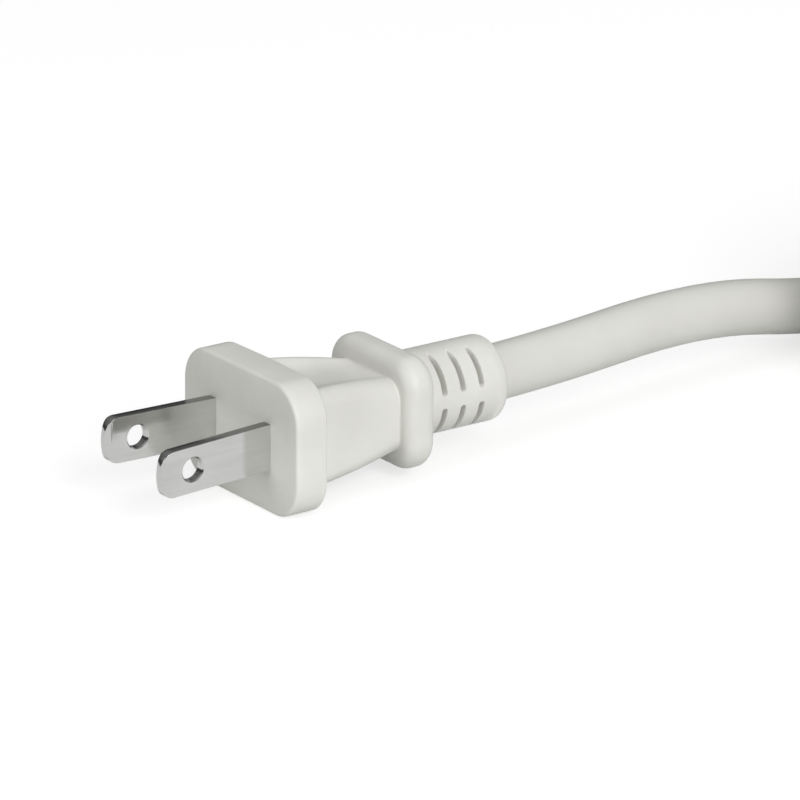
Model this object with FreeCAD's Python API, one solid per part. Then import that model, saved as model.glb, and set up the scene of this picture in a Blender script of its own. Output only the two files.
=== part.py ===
import FreeCAD, Part
import math
import os

# A two-blade mains plug moulded onto a round cord, in millimetres.
# X runs from the blades back along the cord, Y across the blades and Z up.
# The origin is the centre of the face that meets the socket.

# Blades
blade_pitch = 12.7
blade_width = 6.35
blade_thickness = 1.5
blade_length = 17.5
blade_nose_radius = 6.0
blade_corner_radius = 1.3
blade_edge_radius = 0.2
blade_tip_bevel_length = 1.6
blade_tip_bevel_depth = 0.35
blade_hole_diameter = 3.2
blade_hole_from_face = 12.4
blade_hole_chamfer = 0.4
blade_shoulder_width = 8.6
blade_shoulder_length = 2.0
blade_neck_width = 2.0
blade_neck_thickness = 0.9
blade_neck_length = 2.2
crimp_length = 4.6
crimp_wall = 0.55
crimp_seam = 0.25

# Insert that holds the blades at their pitch
bridge_front = 2.2
bridge_thickness = 3.4
bridge_width = 16.8
bridge_height = 10.4
bridge_corner_radius = 1.6

# Moulded body: front flange, waist, grip flange and strain relief
flange_width = 26.6
flange_height = 18.5
flange_thickness = 4.8
flange_corner_radius = 4.8
flange_front_edge_radius = 0.5
flange_back_edge_radius = 0.4
waist_length = 15.8
waist_front_width = 18.6
waist_front_height = 14.2
waist_front_corner = 2.6
waist_front_dish = 0.9
waist_rear_width = 15.8
waist_rear_height = 10.1
waist_rear_corner = 2.2
waist_rear_dish = 0.1
grip_width = 19.4
grip_height = 15.6
grip_thickness = 4.7
grip_corner_radius = 4.2
grip_edge_radius = 1.9
relief_length = 14.4
relief_diameter = 11.9
relief_end_radius = 1.6
groove_count = 3
groove_pitch = 3.05
groove_first = 3.85
groove_width = 0.9
groove_depth = 1.25
groove_side_web_angle = 17.0
groove_top_web_angle = 30.0

# Cord and the two cores inside it
cord_diameter = 7.8
core_diameter = 2.7
core_wire_diameter = 1.2
core_gap = 0.1
jacket_inside = 12.4
core_strip_behind_crimp = 0.8

# Hank of the put-away cord, turns side by side and in layers
hank_columns = 2
hank_layers = 3
hank_inner_radius = 23.4
hank_straight = 64.0
hank_near_centre_x = 126.5
hank_edge_radius = 2.6
tie_width = 5.0
tie_thickness = 0.8
tie_corner_radius = 2.2
tie_tail_length = 12.0
tie_tail_width = 2.4
tie_tail_thickness = 1.2
tie_tail_edge = 0.3
tie_tail_turns = 1.5
tie_tail_steps = 24

# Free end of the cord
tail_turn_angle = 30.0
tail_length = 32.0
lead_root_length = 6.0
lead_drop_length = 9.0
lead_lying_length = 6.0
lead_spread_angle = 6.0
lead_tip_length = 8.0

# Worked out from the sizes above
vector = FreeCAD.Vector
axis_x = vector(1, 0, 0)
axis_y = vector(0, 1, 0)
axis_z = vector(0, 0, 1)
floor_z = -flange_height / 2
cord_radius = cord_diameter / 2
core_offset = (core_diameter + core_gap) / 2
waist_rear_x = flange_thickness + waist_length
grip_rear_x = waist_rear_x + grip_thickness
relief_end_x = grip_rear_x + relief_length
jacket_start_x = relief_end_x - jacket_inside
bridge_rear = bridge_front + bridge_thickness
shoulder_rear = bridge_rear + blade_shoulder_length
crimp_start = shoulder_rear + blade_neck_length
crimp_end = crimp_start + crimp_length
crimp_radius = core_wire_diameter / 2 + crimp_wall
hank_outer_radius = hank_inner_radius + (hank_columns - 1) * cord_diameter
hank_height = hank_layers * cord_diameter
hank_reach = hank_outer_radius + cord_radius
hank_centre_y = flange_width / 2 - hank_reach
hank_far_centre_x = hank_near_centre_x + hank_straight
lay_z = floor_z + cord_radius
edge_tolerance = 1e-6

# Route of the cord from inside the plug to the first turn of the hank
cord_route = [
    vector(jacket_start_x, 0, 0),
    vector(46, 0, 0),
    vector(80, 5.2, 1.3),
    vector(106, 8.9, lay_z),
    vector(hank_near_centre_x, hank_centre_y + hank_outer_radius, lay_z),
]


def rounded_wire(corners, place):
    """Closed wire through corners of (a, b, radius), each rounded by an arc; place maps (a, b) to space."""
    joins = []
    for index, (a, b, radius) in enumerate(corners):
        here = vector(a, b, 0)
        before = vector(*corners[index - 1][:2], 0) - here
        after = vector(*corners[(index + 1) % len(corners)][:2], 0) - here
        before.normalize()
        after.normalize()
        half = before.getAngle(after) / 2
        bisector = before + after
        bisector.normalize()
        start = here + before * (radius / math.tan(half))
        end = here + after * (radius / math.tan(half))
        middle = here + bisector * (radius / math.sin(half) - radius)
        joins.append([place(point.x, point.y) for point in (start, middle, end)])
    edges = []
    for index, (start, middle, end) in enumerate(joins):
        if (end - start).Length > edge_tolerance:
            edges.append(Part.Arc(start, middle, end).toShape())
        following = joins[(index + 1) % len(joins)][0]
        if (following - end).Length > edge_tolerance:
            edges.append(Part.LineSegment(end, following).toShape())
    return Part.Wire(edges)


def rounded_rectangle(width, height, radius, place):
    half_width = width / 2
    half_height = height / 2
    corners = [
        (-half_width, -half_height, radius),
        (half_width, -half_height, radius),
        (half_width, half_height, radius),
        (-half_width, half_height, radius),
    ]
    return rounded_wire(corners, place)


def across(x, y=0.0):
    """Places a section in the plane across the plug's axis at x, centred at y."""
    return lambda a, b: vector(x, y + a, b)


def edges_at_x(shape, x):
    low = x - edge_tolerance
    high = x + edge_tolerance
    return [edge for edge in shape.Edges if low < edge.BoundBox.XMin and edge.BoundBox.XMax < high]


def edges_at_z(shape, z):
    low = z - edge_tolerance
    high = z + edge_tolerance
    return [edge for edge in shape.Edges if low < edge.BoundBox.ZMin and edge.BoundBox.ZMax < high]


def slab(width, height, thickness, radius, x, y=0.0):
    """Rounded plate across the axis, from x backwards."""
    return Part.Face(rounded_rectangle(width, height, radius, across(x, y))).extrude(axis_x * thickness)


def bent_path(points):
    """Straight runs joined by tangent arcs as large as the shorter run allows, with the arcs' radii."""
    share = 0.45
    edges = []
    radii = []
    last = points[0]
    for before, here, after in zip(points, points[1:], points[2:]):
        back = before - here
        ahead = after - here
        reach = share * min(back.Length, ahead.Length)
        back.normalize()
        ahead.normalize()
        half = back.getAngle(ahead) / 2
        radius = reach * math.tan(half)
        bisector = back + ahead
        bisector.normalize()
        start = here + back * reach
        end = here + ahead * reach
        middle = here + bisector * (radius / math.sin(half) - radius)
        edges.append(Part.LineSegment(last, start).toShape())
        edges.append(Part.Arc(start, middle, end).toShape())
        radii.append(radius)
        last = end
    edges.append(Part.LineSegment(last, points[-1]).toShape())
    return Part.Wire(edges), radii


def rod_along(path, radius):
    start = path.Edges[0]
    direction = start.tangentAt(start.FirstParameter)
    profile = Part.Wire(Part.makeCircle(radius, start.valueAt(start.FirstParameter), direction))
    return path.makePipeShell([profile], True, False)


def core_path(side, x_start):
    """A core's line from x_start behind a blade, in an S bend, to its place in the jacket."""
    blade_y = side * blade_pitch / 2
    cord_y = side * core_offset
    bend_start = crimp_end + core_strip_behind_crimp + core_diameter / 4
    bend_end = jacket_start_x - core_diameter / 4
    shift = blade_pitch / 2 - core_offset
    span = bend_end - bend_start
    radius = (span ** 2 + shift ** 2) / (4 * shift)
    quarter = math.asin(span / 2 / radius) / 2
    rise = radius * (1 - math.cos(quarter))
    run = radius * math.sin(quarter)
    first_middle = vector(bend_start + run, blade_y - side * rise, 0)
    turn = vector((bend_start + bend_end) / 2, (blade_y + cord_y) / 2, 0)
    last_middle = vector(bend_end - run, cord_y + side * rise, 0)
    first = vector(bend_start, blade_y, 0)
    last = vector(bend_end, cord_y, 0)
    return Part.Wire([
        Part.LineSegment(vector(x_start, blade_y, 0), first).toShape(),
        Part.Arc(first, first_middle, turn).toShape(),
        Part.Arc(turn, last_middle, last).toShape(),
        Part.LineSegment(last, vector(jacket_start_x, cord_y, 0)).toShape(),
    ])


def blade_outline(place):
    """Side view of a blade: straight edges, and a bowed nose with a rounded corner at each side."""
    half_width = blade_width / 2
    nose_x = blade_nose_radius - blade_length
    corner_z = half_width - blade_corner_radius
    turn = math.asin(corner_z / (blade_nose_radius - blade_corner_radius))
    corner_x = nose_x - (blade_nose_radius - blade_corner_radius) * math.cos(turn)
    join_x = nose_x - blade_nose_radius * math.cos(turn)
    join_z = blade_nose_radius * math.sin(turn)
    middle_turn = (turn + math.pi / 2) / 2
    middle_x = corner_x - blade_corner_radius * math.cos(middle_turn)
    middle_z = corner_z + blade_corner_radius * math.sin(middle_turn)
    return Part.Wire([
        Part.LineSegment(place(corner_x, half_width), place(bridge_rear, half_width)).toShape(),
        Part.LineSegment(place(bridge_rear, half_width), place(bridge_rear, -half_width)).toShape(),
        Part.LineSegment(place(bridge_rear, -half_width), place(corner_x, -half_width)).toShape(),
        Part.Arc(place(corner_x, -half_width), place(middle_x, -middle_z), place(join_x, -join_z)).toShape(),
        Part.Arc(place(join_x, -join_z), place(-blade_length, 0), place(join_x, join_z)).toShape(),
        Part.Arc(place(join_x, join_z), place(middle_x, middle_z), place(corner_x, half_width)).toShape(),
    ])


def make_blade(side):
    """Flat blade with a bevelled round tip and a hole, shoulders behind the bridge and a crimp barrel."""
    centre_y = side * blade_pitch / 2
    half_width = blade_width / 2
    outer_y = centre_y - blade_thickness / 2
    upright = lambda a, b: vector(a, outer_y, b)
    blade = Part.Face(blade_outline(upright)).extrude(axis_y * blade_thickness)
    rear_edges = edges_at_x(blade, bridge_rear)
    rims = [edge for edge in blade.Edges if edge.BoundBox.YLength < edge_tolerance]
    rims = [edge for edge in rims if not any(edge.isSame(rear) for rear in rear_edges)]
    blade = blade.makeFillet(blade_edge_radius, rims)
    shoulder_corner = vector(bridge_rear, outer_y, -blade_shoulder_width / 2)
    shoulder = Part.makeBox(blade_shoulder_length, blade_thickness, blade_shoulder_width, shoulder_corner)
    neck_corner = vector(shoulder_rear, centre_y - blade_neck_thickness / 2, -blade_neck_width / 2)
    neck = Part.makeBox(blade_neck_length, blade_neck_thickness, blade_neck_width, neck_corner)
    barrel = Part.makeCylinder(crimp_radius, crimp_length, vector(crimp_start, centre_y, 0), axis_x)
    bore = Part.makeCylinder(core_wire_diameter / 2, crimp_length, vector(crimp_start, centre_y, 0), axis_x)
    seam_corner = vector(crimp_start, centre_y - crimp_seam / 2, 0)
    seam = Part.makeBox(crimp_length, crimp_seam, crimp_radius, seam_corner)
    blade = blade.fuse([shoulder, neck, barrel.cut([bore, seam])]).removeSplitter()
    cuts = []
    for face in (-1, 1):
        face_y = centre_y + face * blade_thickness / 2
        bevel = Part.makePolygon([
            vector(-blade_length, face_y, -half_width),
            vector(-blade_length, face_y - face * blade_tip_bevel_depth, -half_width),
            vector(-blade_length + blade_tip_bevel_length, face_y, -half_width),
            vector(-blade_length, face_y, -half_width),
        ])
        cuts.append(Part.Face(bevel).extrude(axis_z * blade_width))
        rim = vector(-blade_hole_from_face, face_y, 0)
        hole_radius = blade_hole_diameter / 2
        rim_radius = hole_radius + blade_hole_chamfer
        cuts.append(Part.makeCone(rim_radius, hole_radius, blade_hole_chamfer, rim, axis_y * -face))
    hole_start = vector(-blade_hole_from_face, outer_y, 0)
    cuts.append(Part.makeCylinder(blade_hole_diameter / 2, blade_thickness, hole_start, axis_y))
    return blade.cut(cuts)


def make_bridge(blades):
    bridge = slab(bridge_width, bridge_height, bridge_thickness, bridge_corner_radius, bridge_front)
    return bridge.cut(blades)


def make_core(side):
    """Copper wire from the crimp to the jacket, and the insulation over it behind the crimp."""
    wire = rod_along(core_path(side, crimp_start), core_wire_diameter / 2)
    sleeve = rod_along(core_path(side, crimp_end + core_strip_behind_crimp), core_diameter / 2)
    return wire, sleeve.cut(wire)


def waist_section(x, width, height, radius, dip):
    """Rounded rectangle whose top and bottom are dished for the fingers."""
    half_width = width / 2
    half_height = height / 2
    flat = half_width - radius
    inset = radius * (1 - math.sqrt(0.5))
    edges = []
    for turn in (1, -1):
        corner_low = vector(x, turn * half_width, -turn * (half_height - radius))
        corner_high = vector(x, turn * half_width, turn * (half_height - radius))
        shoulder = vector(x, turn * flat, turn * half_height)
        dish = vector(x, 0, turn * (half_height - dip))
        next_shoulder = vector(x, -turn * flat, turn * half_height)
        next_side = vector(x, -turn * half_width, turn * (half_height - radius))
        near = vector(x, turn * (half_width - inset), turn * (half_height - inset))
        far = vector(x, -turn * (half_width - inset), turn * (half_height - inset))
        edges.append(Part.LineSegment(corner_low, corner_high).toShape())
        edges.append(Part.Arc(corner_high, near, shoulder).toShape())
        edges.append(Part.Arc(shoulder, dish, next_shoulder).toShape())
        edges.append(Part.Arc(next_shoulder, far, next_side).toShape())
    return Part.Wire(edges)


def make_flange():
    flange = slab(flange_width, flange_height, flange_thickness, flange_corner_radius, 0)
    flange = flange.makeFillet(flange_front_edge_radius, edges_at_x(flange, 0))
    return flange.makeFillet(flange_back_edge_radius, edges_at_x(flange, flange_thickness))


def make_waist():
    front_sizes = (waist_front_width, waist_front_height, waist_front_corner, waist_front_dish)
    rear_sizes = (waist_rear_width, waist_rear_height, waist_rear_corner, waist_rear_dish)
    front = waist_section(flange_thickness, *front_sizes)
    rear = waist_section(waist_rear_x, *rear_sizes)
    return Part.makeLoft([front, rear], True, True)


def make_grip():
    grip = slab(grip_width, grip_height, grip_thickness, grip_corner_radius, waist_rear_x)
    edges = edges_at_x(grip, waist_rear_x) + edges_at_x(grip, grip_rear_x)
    return grip.makeFillet(grip_edge_radius, edges)


def make_relief():
    """Round strain relief with rings of four slots, webs left at the sides, top and bottom."""
    radius = relief_diameter / 2
    bend_x = relief_end_x - relief_end_radius
    shoulder = relief_end_radius * math.sqrt(0.5)
    start_x = waist_rear_x + grip_thickness / 2
    rim = vector(bend_x, 0, radius)
    rim_middle = vector(bend_x + shoulder, 0, radius - relief_end_radius + shoulder)
    rim_end = vector(relief_end_x, 0, radius - relief_end_radius)
    profile = Part.Wire([
        Part.LineSegment(vector(start_x, 0, 0), vector(start_x, 0, radius)).toShape(),
        Part.LineSegment(vector(start_x, 0, radius), rim).toShape(),
        Part.Arc(rim, rim_middle, rim_end).toShape(),
        Part.LineSegment(rim_end, vector(relief_end_x, 0, 0)).toShape(),
        Part.LineSegment(vector(relief_end_x, 0, 0), vector(start_x, 0, 0)).toShape(),
    ])
    relief = Part.Face(profile).revolve(vector(0, 0, 0), axis_x, 360)
    slot_span = 90 - (groove_side_web_angle + groove_top_web_angle) / 2
    slots = []
    for ring in range(groove_count):
        slot_x = grip_rear_x + groove_first + ring * groove_pitch - groove_width / 2
        corner = vector(slot_x, 0, radius - groove_depth)
        for start in (groove_top_web_angle / 2, 90 + groove_side_web_angle / 2):
            for half_turn in (0, 180):
                section = Part.makePlane(groove_width, 2 * groove_depth, corner, axis_y * -1, axis_x)
                section.rotate(vector(0, 0, 0), axis_x, start + half_turn)
                slots.append(section.revolve(vector(0, 0, 0), axis_x, slot_span))
    return relief.cut(slots)


def make_body(inside):
    """The overmoulding, solid round everything that it was moulded over."""
    body = make_flange().fuse([make_waist(), make_grip(), make_relief()]).removeSplitter()
    return body.cut(inside)


def oval(radius, z):
    """Closed oval of two straight runs and two round ends, at height z."""
    left = hank_centre_y + radius
    right = hank_centre_y - radius
    near_left = vector(hank_near_centre_x, left, z)
    near_end = vector(hank_near_centre_x - radius, hank_centre_y, z)
    near_right = vector(hank_near_centre_x, right, z)
    far_left = vector(hank_far_centre_x, left, z)
    far_end = vector(hank_far_centre_x + radius, hank_centre_y, z)
    far_right = vector(hank_far_centre_x, right, z)
    return Part.Wire([
        Part.LineSegment(near_left, far_left).toShape(),
        Part.Arc(far_left, far_end, far_right).toShape(),
        Part.LineSegment(far_right, near_right).toShape(),
        Part.Arc(near_right, near_end, near_left).toShape(),
    ])


def make_hank(cuts):
    """Outer shape of the wound turns, with a lane for the cord that comes in and a groove for the tie."""
    outer = Part.Face(oval(hank_reach, floor_z)).extrude(axis_z * hank_height)
    inner = Part.Face(oval(hank_inner_radius - cord_radius, floor_z)).extrude(axis_z * hank_height)
    hank = outer.cut(inner)
    rims = edges_at_z(hank, floor_z) + edges_at_z(hank, floor_z + hank_height)
    return hank.makeFillet(hank_edge_radius, rims).cut(cuts)


def make_tie():
    """Flat tie round the far run of the hank, its two ends twisted together on the inner side."""
    bundle_width = hank_columns * cord_diameter
    bundle_y = hank_centre_y + (hank_inner_radius + hank_outer_radius) / 2
    bundle_z = floor_z + hank_height / 2
    tie_x = (hank_near_centre_x + hank_far_centre_x) / 2 - tie_width / 2
    place = lambda a, b: vector(tie_x, bundle_y + a, bundle_z + b)
    outside = Part.Face(rounded_rectangle(bundle_width, hank_height, tie_corner_radius, place))
    inside_radius = tie_corner_radius - tie_thickness
    inside_width = bundle_width - 2 * tie_thickness
    inside_height = hank_height - 2 * tie_thickness
    inside = Part.Face(rounded_rectangle(inside_width, inside_height, inside_radius, place))
    band = outside.extrude(axis_x * tie_width).cut(inside.extrude(axis_x * tie_width))
    tail_x = tie_x + tie_width / 2
    tail_y = bundle_y - bundle_width / 2 + tie_thickness / 2
    sections = []
    for step in range(tie_tail_steps + 1):
        along = step / tie_tail_steps
        turn = 2 * math.pi * tie_tail_turns * along
        out_y = tail_y - tie_tail_length * along
        flat = lambda a, b: vector(
            tail_x + a * math.cos(turn) - b * math.sin(turn),
            out_y,
            bundle_z + a * math.sin(turn) + b * math.cos(turn),
        )
        sections.append(rounded_rectangle(tie_tail_width, tie_tail_thickness, tie_tail_edge, flat))
    return band.fuse(Part.makeLoft(sections, True, False)).removeSplitter()


def make_lead(side, start, direction):
    """One lead past the jacket's end, down on the floor: its wire with a bare tip, and the insulation."""
    across_cord = axis_z.cross(direction)
    heading = FreeCAD.Rotation(axis_z, side * lead_spread_angle).multVec(direction)
    root = start + across_cord * (side * core_offset)
    bend = root + direction * lead_root_length
    drop = axis_z * (core_diameter / 2 - cord_radius)
    down = bend + heading * lead_drop_length + drop
    end = down + heading * lead_lying_length
    sleeve_path, radii = bent_path([root, bend, down, end])
    wire_path, radii = bent_path([root, bend, down, end + heading * lead_tip_length])
    wire = rod_along(wire_path, core_wire_diameter / 2)
    return wire, rod_along(sleeve_path, core_diameter / 2).cut(wire)


def make_all():
    sides = {"left": 1, "right": -1}
    nodes = {}
    for name, side in sides.items():
        nodes["blade_" + name] = make_blade(side)
    nodes["blade_bridge"] = make_bridge(list(nodes.values()))
    for name, side in sides.items():
        wire, insulation = make_core(side)
        nodes["core_" + name + "_wire"] = wire
        nodes["core_" + name + "_insulation"] = insulation
    path, radii = bent_path(cord_route)
    nodes["cord_run"] = rod_along(path, cord_radius)
    print("cord radii", [round(radius, 1) for radius in radii])
    expected = path.Length * math.pi * cord_radius ** 2
    print("cord volume against section times length", round(nodes["cord_run"].Volume / expected, 5))
    nodes["plug_body"] = make_body(list(nodes.values()))
    nodes["hank_tie"] = make_tie()
    nodes["cord_hank"] = make_hank([nodes["cord_run"], nodes["hank_tie"]])
    turn = math.radians(tail_turn_angle)
    direction = vector(-math.cos(turn), math.sin(turn), 0)
    leave = vector(-math.sin(turn), -math.cos(turn), 0) * hank_inner_radius
    tail_start = vector(hank_far_centre_x, hank_centre_y, lay_z) + leave
    tail = Part.makeCylinder(cord_radius, tail_length, tail_start, direction)
    nodes["cord_tail"] = tail.cut(nodes["cord_hank"])
    for name, side in sides.items():
        wire, insulation = make_lead(side, tail_start + direction * tail_length, direction)
        nodes["lead_" + name + "_wire"] = wire
        nodes["lead_" + name + "_insulation"] = insulation
    return nodes


os.makedirs("parts", exist_ok=True)
for node, shape in make_all().items():
    print(node, "solids", len(shape.Solids), "volume", round(shape.Volume, 1), "valid", shape.isValid())
    shape.exportStep("parts/" + node + ".step")
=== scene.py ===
import bpy
import math
from collections import namedtuple
from mathutils import Matrix, Vector


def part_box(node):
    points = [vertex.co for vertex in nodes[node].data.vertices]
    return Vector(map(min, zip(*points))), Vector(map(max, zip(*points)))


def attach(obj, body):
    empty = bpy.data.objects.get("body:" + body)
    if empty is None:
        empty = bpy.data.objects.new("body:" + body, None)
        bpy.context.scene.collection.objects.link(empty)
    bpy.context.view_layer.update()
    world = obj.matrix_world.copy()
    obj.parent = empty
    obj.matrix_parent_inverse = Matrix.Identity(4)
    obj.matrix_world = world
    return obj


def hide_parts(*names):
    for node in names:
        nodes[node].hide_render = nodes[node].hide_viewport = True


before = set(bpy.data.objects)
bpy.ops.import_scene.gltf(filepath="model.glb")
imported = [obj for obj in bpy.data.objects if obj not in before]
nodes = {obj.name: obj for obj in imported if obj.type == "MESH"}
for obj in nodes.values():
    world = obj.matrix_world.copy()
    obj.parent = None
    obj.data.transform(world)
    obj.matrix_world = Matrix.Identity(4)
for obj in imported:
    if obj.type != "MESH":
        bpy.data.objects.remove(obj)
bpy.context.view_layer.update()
mm = 0.001
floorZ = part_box("plug_body")[0].z
print("frame loaded,", len(nodes), "nodes")


def setStops(elements, stops):  # a ramp's stops, each a place and a grey level
    for index, (place, level) in enumerate(stops):
        stop = elements[index] if index < len(elements) else elements.new(place)
        stop.position = place
        stop.color = (level, level, level, 1)


class Sock:  # an output socket that can be used in sums
    def __init__(self, tree, socket=None):
        self.tree = tree
        self.socket = socket

    def node(self, kind, settings=None, values=None, out=0):
        made = self.tree.nodes.new(kind)
        for name, value in (settings or {}).items():
            if name == "stops":
                setStops(made.color_ramp.elements, value)
            else:
                setattr(made, name, value)
        for name, value in (values or {}).items():
            if isinstance(value, Sock):
                self.tree.links.new(value.socket, made.inputs[name])
            else:
                made.inputs[name].default_value = value
        return Sock(self.tree, made.outputs[out] if made.outputs else None)

    def combine(self, operation, first, second):
        return self.node("ShaderNodeMath", {"operation": operation}, {0: first, 1: second})

    def __add__(self, other):
        return self.combine("ADD", self, other)

    def __radd__(self, other):
        return self.combine("ADD", other, self)

    def __sub__(self, other):
        return self.combine("SUBTRACT", self, other)

    def __rsub__(self, other):
        return self.combine("SUBTRACT", other, self)

    def __mul__(self, other):
        return self.combine("MULTIPLY", self, other)

    def __rmul__(self, other):
        return self.combine("MULTIPLY", other, self)


def mixColours(pen, factor, first, second):
    return pen.node("ShaderNodeMix", {"data_type": "RGBA"}, {0: factor, 6: first, 7: second}, out=2)


def noise(pen, place, size, detail):  # size is the width of one patch, in metres
    values = {"Vector": place, "Scale": 1 / size, "Detail": detail}
    return pen.node("ShaderNodeTexNoise", values=values)


def sway(value, amount):  # a noise's push to either side of nothing
    return amount * (value - 0.5)


def ramp(pen, value, low, high):  # 0 below low, 1 above high
    return pen.node("ShaderNodeValToRGB", {"stops": [(low, 0), (high, 1)]}, {"Fac": value})


def stretched(pen, place, scale):
    return pen.node("ShaderNodeMapping", {"vector_type": "POINT"}, {"Vector": place, "Scale": scale})


def bump(pen, height, depth):
    return pen.node("ShaderNodeBump", values={"Height": height, "Distance": depth, "Strength": 1.0})


def startMaterial(name):
    material = bpy.data.materials.new(name)
    material.use_nodes = True
    material.node_tree.nodes.clear()
    pen = Sock(material.node_tree)
    place = pen.node("ShaderNodeTexCoord", out="Object")
    return material, pen, place


def endMaterial(pen, values):
    shader = pen.node("ShaderNodeBsdfPrincipled", values=values)
    pen.node("ShaderNodeOutputMaterial", values={"Surface": shader})


# Materials, with each noise given as the width of a patch in metres and its detail

plasticIor = 1.5
lightDepth = (0.0012, 0.001, 0.0008)  # how far red, green and blue go under the surface
mouldedLook = {
    "colour": (0.715, 0.715, 0.675, 1),
    "shade": (0.655, 0.655, 0.612, 1),
    "cloud": (0.009, 4),
    "cloudStops": (0.35, 0.7),  # the shade sets in at the first and is full at the second
    "patch": (0.0022, 3),
    "grain": (0.00022, 2),
    "rough": 0.47,
    "cloudRough": 0.10,
    "patchRough": 0.08,
    "patchBump": 0.6,  # how high the patches stand beside the grain
    "bumpDepth": 0.000012,
    "underLight": 0.06,  # share of the light that goes under the surface
}
cordLook = {
    "colour": (0.672, 0.672, 0.632, 1),
    "shade": (0.625, 0.625, 0.583, 1),
    "cloud": (0.012, 3),
    "cloudStops": (0.3, 0.75),
    "patch": (0.0018, 3),
    "grain": (0.00025, 2),
    "rough": 0.43,
    "cloudRough": 0.10,
    "patchRough": 0.08,
    "patchBump": 0.8,
    "bumpDepth": 0.00001,
    "underLight": 0.0,
}


def satinPvc(name, look):
    material, pen, place = startMaterial(name)
    cloud = noise(pen, place, *look["cloud"])
    patch = noise(pen, place, *look["patch"])
    grain = noise(pen, place, *look["grain"])
    shading = ramp(pen, cloud, *look["cloudStops"])
    endMaterial(pen, {
        "Base Color": mixColours(pen, shading, look["colour"], look["shade"]),
        "Roughness": look["rough"] + sway(cloud, look["cloudRough"]) + sway(patch, look["patchRough"]),
        "Normal": bump(pen, grain + look["patchBump"] * patch, look["bumpDepth"]),
        "IOR": plasticIor,
        "Subsurface Weight": look["underLight"],
        "Subsurface Radius": lightDepth,
        "Subsurface Scale": 1.0,
    })
    return material


nickelLook = {
    "bright": (0.77, 0.77, 0.76, 1),
    "dull": (0.70, 0.70, 0.69, 1),
    "slitAndPaintedReflection": (0.28, 0.28, 0.275, 1),  # the edges where the strip was cut, in a painted reflection: dark for the dark surroundings they reflect, beside the cut's real dullness
    "slitReflectionStops": (0.15, 0.5),  # of the squared rise of the surface's normal, so only edges that face up and down get the painted reflection
    "streak": (0.0006, 4),
    "streakStretch": (0.06, 1, 1),
    "cloud": (0.003, 4),
    "cloudStretch": (0.5, 1, 1),
    "streakShare": 0.55,  # of the wear, where clouds are the rest
    "wearStops": (0.35, 0.65),
    "scuff": (0.0011, 5),
    "scuffStops": (0.5, 0.72),
    "rough": 0.11,
    "streakRough": 0.08,
    "scuffRough": 0.06,
    "slitRough": 0.06,
    "scuffBump": 0.4,
    "bumpDepth": 0.000003,
}


def rolledNickel(name, look):
    material, pen, place = startMaterial(name)
    streak = noise(pen, stretched(pen, place, look["streakStretch"]), *look["streak"])
    cloud = noise(pen, stretched(pen, place, look["cloudStretch"]), *look["cloud"])
    scuff = ramp(pen, noise(pen, place, *look["scuff"]), *look["scuffStops"])
    wear = look["streakShare"] * streak + (1 - look["streakShare"]) * cloud
    # painted reflection: edges that face up and down are coloured dark as if reflecting dark surroundings,
    # and are made rougher as a cut edge
    facing = pen.node("ShaderNodeTexCoord", out="Normal")
    rise = pen.node("ShaderNodeSeparateXYZ", values={"Vector": facing}, out="Z")
    slitAndPaintedReflection = ramp(pen, rise * rise, *look["slitReflectionStops"])
    plating = mixColours(pen, ramp(pen, wear, *look["wearStops"]), look["bright"], look["dull"])
    rough = look["rough"] + sway(streak, look["streakRough"])
    endMaterial(pen, {
        "Base Color": mixColours(pen, slitAndPaintedReflection, plating, look["slitAndPaintedReflection"]),
        "Roughness": rough + look["scuffRough"] * scuff + look["slitRough"] * slitAndPaintedReflection,
        "Metallic": 1.0,
        "Normal": bump(pen, streak + look["scuffBump"] * scuff, look["bumpDepth"]),
    })
    return material


plainLook = {
    "cloud": (0.004, 4),
    "cloudStops": (0.3, 0.7),
    "grain": (0.0003, 2),
    "cloudRough": 0.12,
    "bumpDepth": 0.00001,
}
plainColours = {
    "tieCoating": {"colour": (0.035, 0.035, 0.035, 1), "shade": (0.05, 0.05, 0.05, 1), "rough": 0.45},
    "bridgePlastic": {"colour": (0.80, 0.78, 0.70, 1), "shade": (0.74, 0.72, 0.64, 1), "rough": 0.5},
    "darkInsulation": {"colour": (0.02, 0.02, 0.022, 1), "shade": (0.035, 0.035, 0.035, 1), "rough": 0.42},
    "paleInsulation": {"colour": (0.78, 0.78, 0.75, 1), "shade": (0.70, 0.70, 0.67, 1), "rough": 0.42},
}


def plainPlastic(name):
    material, pen, place = startMaterial(name)
    own = plainColours[name]
    cloud = noise(pen, place, *plainLook["cloud"])
    grain = noise(pen, place, *plainLook["grain"])
    shading = ramp(pen, cloud, *plainLook["cloudStops"])
    endMaterial(pen, {
        "Base Color": mixColours(pen, shading, own["colour"], own["shade"]),
        "Roughness": own["rough"] + sway(cloud, plainLook["cloudRough"]),
        "Normal": bump(pen, grain, plainLook["bumpDepth"]),
        "IOR": plasticIor,
    })
    return material


wireLook = {
    "strand": (0.00025, 3),
    "strandStretch": (0.1, 1, 1),
    "strandStops": (0.35, 0.65),
    "rough": 0.25,
    "strandRough": 0.2,
    "bumpDepth": 0.00004,
}
wireColours = {
    "copperStrands": {"colour": (0.78, 0.40, 0.25, 1), "shade": (0.60, 0.28, 0.16, 1)},
    "tinnedStrands": {"colour": (0.72, 0.71, 0.69, 1), "shade": (0.52, 0.51, 0.50, 1)},
}


def strandedWire(name):
    material, pen, place = startMaterial(name)
    own = wireColours[name]
    strand = noise(pen, stretched(pen, place, wireLook["strandStretch"]), *wireLook["strand"])
    shading = ramp(pen, strand, *wireLook["strandStops"])
    endMaterial(pen, {
        "Base Color": mixColours(pen, shading, own["colour"], own["shade"]),
        "Roughness": wireLook["rough"] + wireLook["strandRough"] * strand,
        "Metallic": 1.0,
        "Normal": bump(pen, strand, wireLook["bumpDepth"]),
    })
    return material


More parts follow.
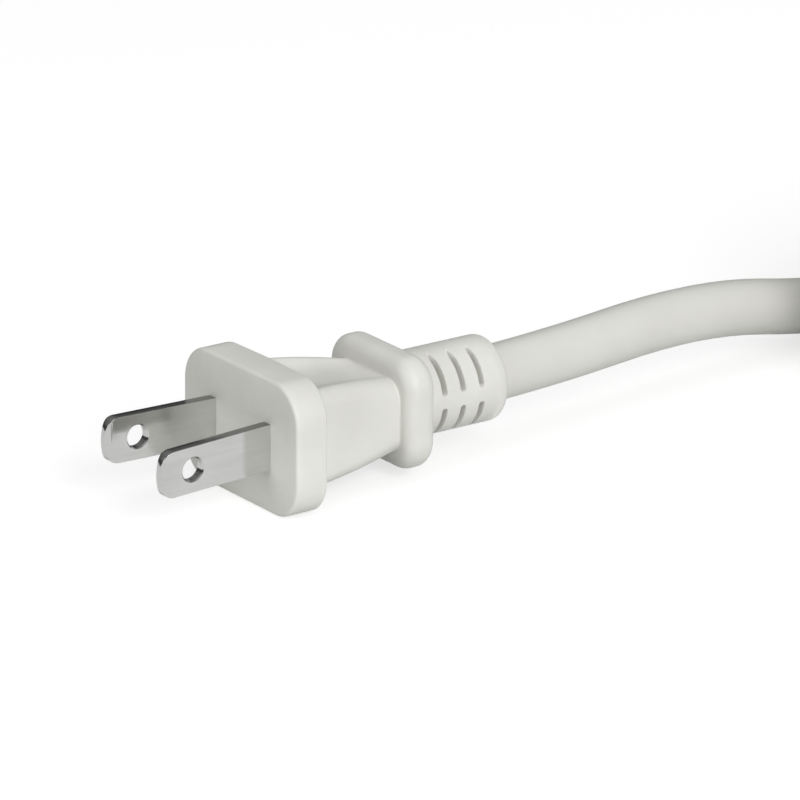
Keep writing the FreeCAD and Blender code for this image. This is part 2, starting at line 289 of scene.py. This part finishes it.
bodyFinish = satinPvc("mouldedPvc", mouldedLook)
cordFinish = satinPvc("cordPvc", cordLook)
bladeFinish = rolledNickel("rolledNickel", nickelLook)
tieFinish = plainPlastic("tieCoating")
bridgeFinish = plainPlastic("bridgePlastic")
darkFinish = plainPlastic("darkInsulation")
paleFinish = plainPlastic("paleInsulation")
copperFinish = strandedWire("copperStrands")
tinnedFinish = strandedWire("tinnedStrands")

nodeFinishes = {
    "blade_bridge": bridgeFinish,
    "core_left_wire": copperFinish,
    "core_right_wire": copperFinish,
    "core_left_insulation": darkFinish,
    "core_right_insulation": paleFinish,
    "lead_left_wire": tinnedFinish,
    "lead_right_wire": tinnedFinish,
    "lead_left_insulation": darkFinish,
    "lead_right_insulation": paleFinish,
}
for name, finish in nodeFinishes.items():
    nodes[name].data.materials.clear()
    nodes[name].data.materials.append(finish)
print("materials made")


def addMesh(name, points, faces, finish):
    mesh = bpy.data.meshes.new(name)
    mesh.from_pydata(points, [], faces)
    mesh.update()
    piece = bpy.data.objects.new(name, mesh)
    bpy.context.scene.collection.objects.link(piece)
    piece.data.materials.append(finish)
    piece.data.shade_smooth()
    return piece


def ringFaces(rings, size, first=0, closed=False, flipped=False):  # the walls between rings of points
    faces = []
    for ring in range(rings if closed else rings - 1):
        here = first + ring * size
        after = first + (ring + 1) % rings * size
        for place in range(size):
            beside = (place + 1) % size
            if flipped:
                faces.append((here + place, after + place, after + beside, here + beside))
            else:
                faces.append((here + place, here + beside, after + beside, after + place))
    return faces


# Moulded body in millimetres, one skin of rings from the front face to the cord's exit

Section = namedtuple("Section", "halfWidth halfHeight corner dip sink", defaults=(0.0, 0.0))

body = {
    "length": 39.9,
    "flange": Section(13.3, 9.25, 5.3),
    "flangeBack": 4.8,
    "flangeFrontEdge": 0.5,
    "flangeBackEdge": 0.4,
    "flangeLean": 0.5,  # how much thicker the flange is at its top and bottom than at its sides
    "waistFront": Section(9.3, 6.8, 1.8, dip=1.25),  # dip is the depth of the finger scoops
    "waistRear": Section(7.4, 5.1, 2.8, dip=0.45, sink=0.25),  # sink is how far it lies below the middle
    "waistLand": 0.2,  # width of the level rim beside a scoop
    "scoopPower": 2.8,  # 2 makes the scoop an even curve, more makes its sides steeper
    "waistSwell": 0.38,  # how far the rim rises midway
    "waistLip": 1.4,  # length over which the scoop rises again against the grip
    "waistFillet": 0.3,
    "gripFront": 20.6,
    "grip": Section(9.7, 7.8, 4.2),
    "gripBack": 25.3,
    "gripEdge": 1.9,
    "relief": Section(5.95, 5.95, 5.949),  # round, but for a trace of a flat that keeps the sums in range
    "reliefFillet": 0.4,
    "reliefEnd": 1.1,
    "exitRadius": 3.92,
    "exitDepth": 1.2,
    "slotFirst": 3.85,
    "slotPitch": 3.05,
    "slotCount": 3,
    "slotWidth": 0.65,
    "slotDepth": 1.95,
    "slotRunOut": 1.7,  # over this much beside the top and bottom webs they grow narrow and shallow
    "slotSoft": 0.16,  # a slot's wall falls over twice this
    "sideWeb": 20.0,  # degrees of wall left between the slots at the sides
    "sideWebGrowth": 1.5,  # more of it from each slot to the next
    "topWeb": 29.0,  # and at the top and bottom
    "leastCorner": 0.01,
}
bodyRings = {  # how finely the skin is divided
    "rays": 240,
    "faceShares": (0.004, 0.1, 0.25, 0.4, 0.55, 0.7, 0.82, 0.92),  # of the front face
    "frontEdge": 6,
    "backEdge": 5,
    "shoulderShares": (0.25, 0.5, 0.75),  # of the flange's back, down to the waist
    "waistFillet": 6,
    "waist": 44,
    "gripEdge": 12,
    "reliefFillet": 5,
    "relief": 12,
    "wall": 4,  # on either side of a slot's wall
    "wallStep": 1 / 3,  # of slotSoft
    "closest": 0.01,
    "reliefEnd": 10,
    "halvings": 30,
}


def reach(section, angle):  # distance from the section's middle to its edge at this angle
    across = abs(math.cos(angle))
    up = abs(math.sin(angle))
    flat = section.halfWidth - section.corner
    tall = section.halfHeight - section.corner
    if section.halfWidth * up <= tall * across:
        return section.halfWidth / across
    if section.halfHeight * across <= flat * up:
        return scoopReach(section, across, up) if section.dip else section.halfHeight / up
    middle = across * flat + up * tall
    return middle + math.sqrt(max(middle ** 2 - flat ** 2 - tall ** 2 + section.corner ** 2, 0))


def scoopReach(section, across, up):  # the same where the edge is scooped, found by halving
    land = section.halfWidth - section.corner - body["waistLand"]
    low = (section.halfHeight - section.dip) / up
    high = section.halfHeight / up
    for halving in range(bodyRings["halvings"]):
        middle = (low + high) / 2
        scoop = section.dip * max(1 - (middle * across / land) ** body["scoopPower"], 0)
        if middle * up < section.halfHeight - scoop:
            low = middle
        else:
            high = middle
    return high


def grown(section, margin):
    return section._replace(
        halfWidth=section.halfWidth + margin,
        halfHeight=section.halfHeight + margin,
        corner=max(section.corner + margin, body["leastCorner"]),
    )


def between(first, second, share):
    return Section(*(a + (b - a) * share for a, b in zip(first, second)))


def quarter(steps):  # the turn of a quarter circle, in even steps
    return [math.pi / 2 * step / steps for step in range(steps + 1)]


def edgeFrom(x, section, edge, steps):  # rings of a round edge that starts at x and opens to the section
    made = []
    for turn in quarter(steps):
        made.append((x + edge - edge * math.cos(turn), grown(section, edge * math.sin(turn) - edge), 0))
    return made


def edgeTo(x, section, edge, steps, lean=0):  # and of one that closes from the section and ends at x
    made = []
    for turn in quarter(steps):
        made.append((x - edge + edge * math.sin(turn), grown(section, edge * math.cos(turn) - edge), lean))
    return made


def flangeStations():  # each station is a place along the plug, a section and a lean
    flange = body["flange"]
    edge = body["flangeFrontEdge"]
    made = []
    for share in bodyRings["faceShares"]:
        made.append((0, Section(*(size * share for size in grown(flange, -edge))), 0))
    made += edgeFrom(0, flange, edge, bodyRings["frontEdge"])
    edge = body["flangeBackEdge"]
    back = body["flangeBack"]
    lean = body["flangeLean"]
    made.append((back / 2, flange, 0))
    made += edgeTo(back, flange, edge, bodyRings["backEdge"], lean)
    foot = grown(body["waistFront"], body["waistFillet"])
    for share in bodyRings["shoulderShares"]:
        made.append((back, between(grown(flange, -edge), foot, share), lean * (1 - share)))
    return made


def waistAt(x):
    start = body["flangeBack"]
    end = body["gripFront"]
    share = (x - start) / (end - start)
    swell = body["waistSwell"] * 4 * share * (1 - share)  # 4 brings its middle to the full swell
    plain = between(body["waistFront"], body["waistRear"], share)
    closing = min((end - x) / body["waistLip"], 1)
    dip = (plain.dip + swell) * closing * (2 - closing)
    return plain._replace(halfHeight=plain.halfHeight + swell, dip=dip)


def waistStations():
    fillet = body["waistFillet"]
    start = body["flangeBack"]
    end = body["gripFront"]
    steps = bodyRings["waist"]
    made = []
    for turn in quarter(bodyRings["waistFillet"]):
        x = start + fillet - fillet * math.cos(turn)
        made.append((x, grown(waistAt(x), fillet - fillet * math.sin(turn)), 0))
    for step in range(1, steps):
        x = start + fillet + (end - start - 2 * fillet) * step / steps
        made.append((x, waistAt(x), 0))
    for turn in quarter(bodyRings["waistFillet"]):
        x = end - fillet + fillet * math.sin(turn)
        made.append((x, grown(waistAt(x), fillet - fillet * math.cos(turn)), 0))
    return made


def gripStations():
    grip = body["grip"]
    edge = body["gripEdge"]
    front = body["gripFront"]
    back = body["gripBack"]
    face = grown(grip, -edge)
    waistFoot = grown(waistAt(front), body["waistFillet"])
    reliefFoot = grown(body["relief"], body["reliefFillet"])
    made = [(front, between(waistFoot, face, 0.5), 0)]
    made += edgeFrom(front, grip, edge, bodyRings["gripEdge"])
    made += edgeTo(back, grip, edge, bodyRings["gripEdge"])
    made.append((back, between(face, reliefFoot, 0.5), 0))
    return made


def reliefStations():
    relief = body["relief"]
    fillet = body["reliefFillet"]
    start = body["gripBack"]
    end = body["reliefEnd"]
    length = body["length"]
    made = []
    for turn in quarter(bodyRings["reliefFillet"]):
        x = start + fillet - fillet * math.cos(turn)
        made.append((x, grown(relief, fillet - fillet * math.sin(turn)), 0))
    made += [(x, relief, 0) for x in slotPlaces(start + fillet, length - end)]
    made += edgeTo(length, relief, end, bodyRings["reliefEnd"])
    mouth = grown(relief, body["exitRadius"] - relief.halfWidth)
    made += [(length, mouth, 0), (length - body["exitDepth"], mouth, 0)]
    return made


def slotMiddle(slot):
    return body["gripBack"] + body["slotFirst"] + slot * body["slotPitch"]


def slotPlaces(start, end):  # close together at the walls of the slots
    steps = bodyRings["relief"]
    places = [start + (end - start) * step / steps for step in range(1, steps + 1)]
    for slot in range(body["slotCount"]):
        middle = slotMiddle(slot)
        places += [middle - body["slotPitch"] / 2, middle, middle + body["slotPitch"] / 2]
        for wall in (middle - body["slotWidth"] / 2, middle + body["slotWidth"] / 2):
            for step in range(-bodyRings["wall"], bodyRings["wall"] + 1):
                places.append(wall + step * body["slotSoft"] * bodyRings["wallStep"])
    places = sorted(place for place in places if start < place <= end)
    kept = places[:1]
    for before, place in zip(places, places[1:]):
        if place - before > bodyRings["closest"]:
            kept.append(place)
    return kept


def softStep(value, soft):  # 0 below -soft, 1 above soft, smooth between
    share = min(max(value / soft * 0.5 + 0.5, 0), 1)
    return share * share * (3 - 2 * share)


def slotDip(x, angle):  # how deep the slots are here
    turn = math.degrees(angle) % 180
    oneDegree = math.radians(body["relief"].halfWidth)  # its length on the surface
    fromTop = abs(turn - 90) - body["topWeb"] / 2
    runOut = min(max(fromTop * oneDegree / body["slotRunOut"], 0), 1)
    half = body["slotWidth"] / 2 * runOut
    deepest = 0
    for slot in range(body["slotCount"]):
        sideWeb = body["sideWeb"] + slot * body["sideWebGrowth"]
        fromSide = min(turn, 180 - turn) - sideWeb / 2
        arc = min(fromSide, fromTop) * oneDegree
        inside = half - math.hypot(x - slotMiddle(slot), max(half - arc, 0))  # the slots have round ends
        deepest = max(deepest, softStep(inside, body["slotSoft"]))
    return deepest * body["slotDepth"] * runOut * (2 - runOut)


def makeBody():
    rays = bodyRings["rays"]
    stations = flangeStations() + waistStations() + gripStations() + reliefStations()
    points = []
    for x, section, lean in stations:
        slotted = section == body["relief"]
        for ray in range(rays):
            angle = 2 * math.pi * (ray + 0.5) / rays
            radius = reach(section, angle) - (slotDip(x, angle) if slotted else 0)
            back = x + lean * math.sin(angle) ** 2
            z = radius * math.sin(angle) - section.sink
            points.append((back * mm, radius * math.cos(angle) * mm, z * mm))
    last = len(points) - rays
    faces = [tuple(reversed(range(rays)))]
    faces += ringFaces(len(stations), rays)
    faces.append(tuple(range(last, last + rays)))
    piece = addMesh("plugSkin", points, faces, bodyFinish)
    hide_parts("plug_body")
    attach(piece, "root")
    return piece


plugSkin = makeBody()
print("moulded body made,", len(plugSkin.data.polygons), "faces")


# Blades in millimetres, each made of rings from its hole out to its outline

blade = {
    "place": {"left": 6.35, "right": -6.35},
    "halfWidth": 3.175,
    "halfThickness": 0.75,
    "length": 17.5,
    "root": 1.0,  # how far it goes on inside the body
    "noseRadius": 6.0,
    "cornerRadius": 1.9,
    "edge": 0.05,
    "edgeSteps": 4,
    "bevelLength": 1.0,  # at the tip
    "bevelDepth": 0.36,
    "hole": 12.4,
    "holeRadius": 1.6,
    "holeChamfer": 0.16,
    "rays": 192,
    "rings": 28,
    "sharpAngle": 20.0,  # degrees above which an edge shows as a crease
    "lean": {"left": 1.2, "right": -2.2},  # degrees that the blade has been bent up
    "splay": {"left": 0.0, "right": -1.2},  # and sideways
}
tiny = 1e-9


def outlineReach(angle):  # distance from the hole's centre to the blade's outline
    across = math.cos(angle)
    up = abs(math.sin(angle))
    half = blade["halfWidth"]
    corner = blade["cornerRadius"]
    nose = blade["noseRadius"]
    noseX = blade["hole"] - blade["length"] + nose  # centre of the nose arc, seen from the hole
    cornerX = noseX - math.sqrt((nose - corner) ** 2 - (half - corner) ** 2)
    side = half / max(up, tiny)
    if across < 0 and side * across < cornerX:
        ratio = nose / (nose - corner)
        join = ((cornerX - noseX) * ratio + noseX, (half - corner) * ratio)
        onNose = math.atan2(up, -across) < math.atan2(join[1], -join[0])
        centre = (noseX, 0) if onNose else (cornerX, half - corner)
        size = nose if onNose else corner
        along = centre[0] * across + centre[1] * up
        return along + math.sqrt(along ** 2 - centre[0] ** 2 - centre[1] ** 2 + size ** 2)
    if across > tiny:
        return min(side, (blade["hole"] + blade["root"]) / across)
    return side


def bladeRings():  # each ring's kind, step and height off the middle, round one side
    thick = blade["halfThickness"]
    chamfer = blade["holeChamfer"]
    edge = blade["edge"]
    made = [("hole", 0, 0), ("hole", 0, thick - chamfer), ("hole", chamfer, thick)]
    made += [("between", step / blade["rings"], thick) for step in range(1, blade["rings"])]
    for turn in quarter(blade["edgeSteps"]):
        made.append(("outline", edge - edge * math.sin(turn), thick - edge + edge * math.cos(turn)))
    made.append(("outline", 0, 0))
    return made


def ringReach(kind, step, angle):  # distance of a ring's point from the hole's centre
    if kind == "hole":
        return blade["holeRadius"] + step
    if kind == "outline":
        return outlineReach(angle) - step
    start = blade["holeRadius"] + blade["holeChamfer"]
    return start + (outlineReach(angle) - blade["edge"] - start) * step


def makeBlade(side):
    rays = blade["rays"]
    rings = bladeRings()
    rings += [(kind, step, -height) for kind, step, height in rings[-2:0:-1]]  # back along the other side
    lean = math.tan(math.radians(blade["lean"][side]))
    splay = math.tan(math.radians(blade["splay"][side]))
    points = []
    for kind, step, height in rings:
        for ray in range(rays):
            angle = 2 * math.pi * ray / rays
            distance = ringReach(kind, step, angle)
            x = distance * math.cos(angle) - blade["hole"]
            nearTip = min(max(1 - (x + blade["length"]) / blade["bevelLength"], 0), 1)
            thinning = 1 - blade["bevelDepth"] / blade["halfThickness"] * nearTip
            y = blade["place"][side] + height * thinning - min(x, 0) * splay
            z = distance * math.sin(angle) - min(x, 0) * lean
            points.append((x * mm, y * mm, z * mm))
    faces = ringFaces(len(rings), rays, closed=True, flipped=True)
    piece = addMesh("bladePlate." + side, points, faces, bladeFinish)
    piece.data.set_sharp_from_angle(angle=math.radians(blade["sharpAngle"]))
    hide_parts("blade_" + side)
    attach(piece, "root")


for side in blade["place"]:
    makeBlade(side)
print("blades made")


# Cord in metres, one line from inside the relief to the stripped end

cord = {
    "diameter": 7.8 * mm,
    "length": 1.8,
    "exit": (39.9 * mm, 0, 0),
    "nearX": 126.5 * mm,  # centres of the hank's two round ends
    "farX": 190.5 * mm,
    "innerRadius": 23.4 * mm,
    "outerEdgeY": 13.3 * mm,
    "endSteps": 12,  # points on each round end
    "crossing": 16 * mm,  # a turn changes place within this much of the middle of the near side
    "tied": 8 * mm,  # the turns lie straight within this much of the tie, on the other side
    "tieLift": 0.8 * mm,  # the tie passes under them there
    "hump": 0.42,  # how far the top turn rises where it crosses over, in diameters
    "tailTurn": 30.0,  # degrees that the end turns in from the hank's near side
    "tailLength": 32 * mm,
    "roundSteps": 10,  # how finely its section is divided
    "runSteps": 8,  # and its line between two points
}
cordRadius = cord["diameter"] / 2
layZ = floorZ + cordRadius
outerRadius = cord["innerRadius"] + cord["diameter"]
centreY = cord["outerEdgeY"] - outerRadius - cordRadius
tieX = (cord["nearX"] + cord["farX"]) / 2
turnPlaces = [(0, 0), (0, 1), (0, 2), (1, 2), (1, 1), (1, 0)]  # column and layer of each turn
cordRoute = [
    (0.0273, 0, 0),
    (0.046, 0, 0),
    (0.080, 0.0050, 0.0009),
    (0.106, 0.0089, layZ),
    (cord["nearX"], centreY + outerRadius, layZ),
]


def roundEnd(centreX, startAngle, column, layer):
    steps = cord["endSteps"]
    turnRadius = (outerRadius - column * cord["diameter"]) / math.cos(math.pi / 2 / steps)
    made = []
    for step in range(-1, steps + 1):  # one more at each end, on the straight
        angle = startAngle - math.pi * (step + 0.5) / steps
        x = centreX + turnRadius * math.cos(angle)
        y = centreY + turnRadius * math.sin(angle)
        made.append((x, y, layZ + layer * cord["diameter"]))
    return made


def hankPoints():
    made = []
    for turn, (column, layer) in enumerate(turnPlaces):
        tiedY = centreY + outerRadius - column * cord["diameter"]
        tiedZ = layZ + layer * cord["diameter"] + cord["tieLift"]
        made += [(tieX + side * cord["tied"], tiedY, tiedZ) for side in (-1, 1)]
        made += roundEnd(cord["farX"], math.pi / 2, column, layer)
        if turn + 1 == len(turnPlaces):
            break
        following = turnPlaces[turn + 1]
        hump = cord["hump"] * cord["diameter"] if following[0] != column else 0
        for side, (sideColumn, sideLayer) in ((1, (column, layer)), (-1, following)):
            y = centreY - outerRadius + sideColumn * cord["diameter"]
            z = layZ + sideLayer * cord["diameter"] + hump
            made.append((tieX + side * cord["crossing"], y, z))
        made += roundEnd(cord["nearX"], -math.pi / 2, *following)
    return made


def tailPoints():
    turn = math.radians(cord["tailTurn"])
    turnRadius = cord["innerRadius"]
    bend = turnRadius / math.cos(turn / 2)
    corner = (cord["farX"] - bend * math.sin(turn / 2), centreY - bend * math.cos(turn / 2), layZ)
    leaveX = cord["farX"] - turnRadius * math.sin(turn)
    leaveY = centreY - turnRadius * math.cos(turn)
    end = (leaveX - cord["tailLength"] * math.cos(turn), leaveY + cord["tailLength"] * math.sin(turn), layZ)
    return [corner, end]


def makeCord():
    curve = bpy.data.curves.new("supplyCord", "CURVE")
    curve.dimensions = "3D"
    curve.bevel_depth = cordRadius
    curve.bevel_resolution = cord["roundSteps"]
    curve.use_fill_caps = True
    curve.resolution_u = cord["runSteps"]
    route = cordRoute + hankPoints() + tailPoints()
    spline = curve.splines.new("NURBS")
    spline.points.add(len(route) - 1)
    for point, place in zip(spline.points, route):
        point.co = (*place, 1)
    spline.order_u = 3
    spline.use_endpoint_u = True
    spline.use_smooth = True
    piece = bpy.data.objects.new("supplyCord", curve)
    bpy.context.scene.collection.objects.link(piece)
    curve.materials.append(cordFinish)
    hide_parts("cord_run", "cord_hank", "cord_tail")
    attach(piece, "root")
    return piece


supplyCord = makeCord()
print("cord made")


# Tie round the hank's side away from the camera, drawn tight on the turns, its ends twisted together

tie = {
    "width": 5.0 * mm,
    "thickness": 0.8 * mm,
    "samples": 48,  # points round each turn
    "sideShare": 0.8,  # of the inner radius: turns further out than this pass through the tie
    "tailLength": 12 * mm,
    "tailWidth": 2.4 * mm,
    "tailThickness": 1.2 * mm,
    "tailTurns": 1.5,
    "tailSteps": 60,
    "edge": 0.2 * mm,
    "edgeSteps": 2,
    "edgeAngle": 50.0,
}


def cordLine():  # the cord's centre line, read from its own spline
    curve = supplyCord.data.copy()
    curve.bevel_depth = 0
    line = bpy.data.objects.new("cordLine", curve)
    mesh = bpy.data.meshes.new_from_object(line)
    found = [vertex.co.copy() for vertex in mesh.vertices]
    bpy.data.objects.remove(line)
    bpy.data.curves.remove(curve)
    bpy.data.meshes.remove(mesh)
    return found


def turnsAt(x):  # where the tied turns pass this place
    found = []
    line = cordLine()
    sideY = centreY + cord["innerRadius"] * tie["sideShare"]
    for first, second in zip(line, line[1:]):
        if (first.x - x) * (second.x - x) < 0 and min(first.y, second.y) > sideY:
            place = first.lerp(second, (x - first.x) / (second.x - first.x))
            found.append((place.y, place.z))
    return found


def turnsLeft(a, b, c):
    return (b[0] - a[0]) * (c[1] - a[1]) - (b[1] - a[1]) * (c[0] - a[0]) > 0


def hullIndices(points):  # the points that a band round them all would touch, in order
    order = sorted(range(len(points)), key=lambda index: points[index])
    hull = []
    for run in (order, order[::-1]):
        chain = []
        for index in run:
            while len(chain) > 1 and not turnsLeft(points[chain[-2]], points[chain[-1]], points[index]):
                chain.pop()
            chain.append(index)
        hull += chain[:-1]
    return hull


def circlesRound(places, size):
    made = []
    for y, z in places:
        for step in range(tie["samples"]):
            angle = 2 * math.pi * step / tie["samples"]
            made.append((y + size * math.cos(angle), z + size * math.sin(angle)))
    return made


def tailCorners(rootY, rootZ):  # the twisted ends, four corners at each step
    made = []
    for step in range(tie["tailSteps"] + 1):
        share = step / tie["tailSteps"]
        turn = 2 * math.pi * tie["tailTurns"] * share
        for a, b in ((-1, -1), (1, -1), (1, 1), (-1, 1)):
            wide = a * tie["tailWidth"] / 2
            thick = b * tie["tailThickness"] / 2
            x = tieX - wide * math.cos(turn) + thick * math.sin(turn)
            z = rootZ + wide * math.sin(turn) + thick * math.cos(turn)
            made.append((x, rootY - tie["tailLength"] * share, z))
    return made


def makeTie():
    turns = turnsAt(tieX)
    inner = circlesRound(turns, cordRadius)
    outer = circlesRound(turns, cordRadius + tie["thickness"])
    half = tie["width"] / 2
    loop = hullIndices(inner)
    points = []
    for index in loop:
        for x, ring in ((-half, inner), (-half, outer), (half, outer), (half, inner)):
            points.append((tieX + x, *ring[index]))
    faces = ringFaces(len(loop), 4, closed=True, flipped=True)
    tail = len(points)
    rootY = min(y for y, z in outer) + tie["thickness"] / 2
    points += tailCorners(rootY, sum(z for y, z in outer) / len(outer))
    last = len(points) - 4
    faces += ringFaces(tie["tailSteps"] + 1, 4, first=tail)
    faces.append((tail + 3, tail + 2, tail + 1, tail))
    faces.append((last, last + 1, last + 2, last + 3))
    piece = addMesh("twistTie", points, faces, tieFinish)
    edges = piece.modifiers.new("edges", "BEVEL")
    edges.width = tie["edge"]
    edges.segments = tie["edgeSteps"]
    edges.limit_method = "ANGLE"
    edges.angle_limit = math.radians(tie["edgeAngle"])
    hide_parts("hank_tie")
    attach(piece, "root")
    return piece


twistTie = makeTie()
print("tie made")


# Floor, light and camera

stage = {
    "floorSize": 8.0,
    "floorColour": (0.45, 0.45, 0.45, 1),
    "floorGlow": 0.66,
    "floorRough": 0.9,
    "bounceColour": (0.80, 0.80, 0.80, 1),
    "bounceDrop": 0.1 * mm,
    "skyLow": 0.05,  # at the horizon
    "skyHigh": 0.73,  # and overhead
    "skyStops": (0.25, 0.95),  # the heights where it starts to brighten and is full
    "lampAim": (0.015, 0, 0),
}


def makeFloor(name, z, colour, glow):
    half = stage["floorSize"] / 2
    mesh = bpy.data.meshes.new(name)
    corners = [(-half, -half, z), (half, -half, z), (half, half, z), (-half, half, z)]
    mesh.from_pydata(corners, [], [(0, 1, 2, 3)])
    floor = bpy.data.objects.new(name, mesh)
    bpy.context.scene.collection.objects.link(floor)
    material, pen, place = startMaterial(name)
    endMaterial(pen, {
        "Base Color": colour,
        "Roughness": stage["floorRough"],
        "Specular IOR Level": 0.0,
        "Emission Color": (1, 1, 1, 1),
        "Emission Strength": glow,
    })
    mesh.materials.append(material)
    return floor


def makeFloors():  # the pale floor that is seen, and one that throws light up at the plug
    seen = makeFloor("paleFloor", floorZ, stage["floorColour"], stage["floorGlow"])
    seen.visible_diffuse = False
    seen.visible_glossy = False
    seen.visible_shadow = False
    bounce = makeFloor("bounceFloor", floorZ - stage["bounceDrop"], stage["bounceColour"], 0)
    bounce.visible_camera = False
    bounce.visible_shadow = False


def makeSky():
    world = bpy.data.worlds.new("studio")
    bpy.context.scene.world = world
    world.use_nodes = True
    world.node_tree.nodes.clear()
    pen = Sock(world.node_tree)
    place = pen.node("ShaderNodeTexCoord", out="Generated")
    up = pen.node("ShaderNodeSeparateXYZ", values={"Vector": place}, out="Z")
    level = stage["skyLow"] + (stage["skyHigh"] - stage["skyLow"]) * ramp(pen, up, *stage["skyStops"])
    colour = pen.node("ShaderNodeCombineColor", values={0: level, 1: level, 2: level})
    light = pen.node("ShaderNodeBackground", values={"Color": colour})
    pen.node("ShaderNodeOutputWorld", values={"Surface": light})


lamps = {
    "keyLamp": {"place": (-0.10, -0.88, 0.48), "size": 0.6, "power": 7.1},
    "fillLamp": {"place": (-0.92, -0.12, 0.36), "size": 0.6, "power": 2.1},
    "topLamp": {"place": (0.52, 0.23, 0.76), "size": 0.25, "power": 0.3},
}


def makeLamps():
    for name, lamp in lamps.items():
        light = bpy.data.lights.new(name, "AREA")
        light.shape = "DISK"
        light.size = lamp["size"]
        light.energy = lamp["power"]
        holder = bpy.data.objects.new(name, light)
        holder.location = lamp["place"]
        ahead = Vector(stage["lampAim"]) - holder.location
        holder.rotation_euler = ahead.to_track_quat("-Z", "Y").to_euler()
        holder.visible_camera = False
        bpy.context.scene.collection.objects.link(holder)


camera = {
    "azimuth": -35.61,
    "elevation": 19.46,
    "roll": 0.43,
    "distance": 1.0,
    "right": -21.08 * mm,  # where the origin stands in the view
    "up": -4.26 * mm,
    "lens": 341.6,
    "sensor": 36,
    "clip": (0.05, 50),
}


def makeCamera():
    azimuth = math.radians(camera["azimuth"])
    elevation = math.radians(camera["elevation"])
    roll = math.radians(camera["roll"])
    level = math.cos(elevation)
    back = Vector((math.sin(azimuth) * level, -math.cos(azimuth) * level, math.sin(elevation)))
    levelRight = (-back).cross(Vector((0, 0, 1))).normalized()
    levelUp = levelRight.cross(-back)
    right = levelRight * math.cos(roll) + levelUp * math.sin(roll)
    up = levelUp * math.cos(roll) - levelRight * math.sin(roll)
    lens = bpy.data.cameras.new("camera")
    lens.lens = camera["lens"]
    lens.sensor_width = camera["sensor"]
    lens.clip_start, lens.clip_end = camera["clip"]
    holder = bpy.data.objects.new("camera", lens)
    place = back * camera["distance"] - right * camera["right"] - up * camera["up"]
    turned = Matrix((right, up, back)).transposed().to_4x4()
    holder.matrix_world = Matrix.Translation(place) @ turned
    bpy.context.scene.collection.objects.link(holder)
    bpy.context.scene.camera = holder


makeFloors()
makeSky()
makeLamps()
makeCamera()
bpy.context.scene.view_settings.view_transform = "Standard"
print("stage made")
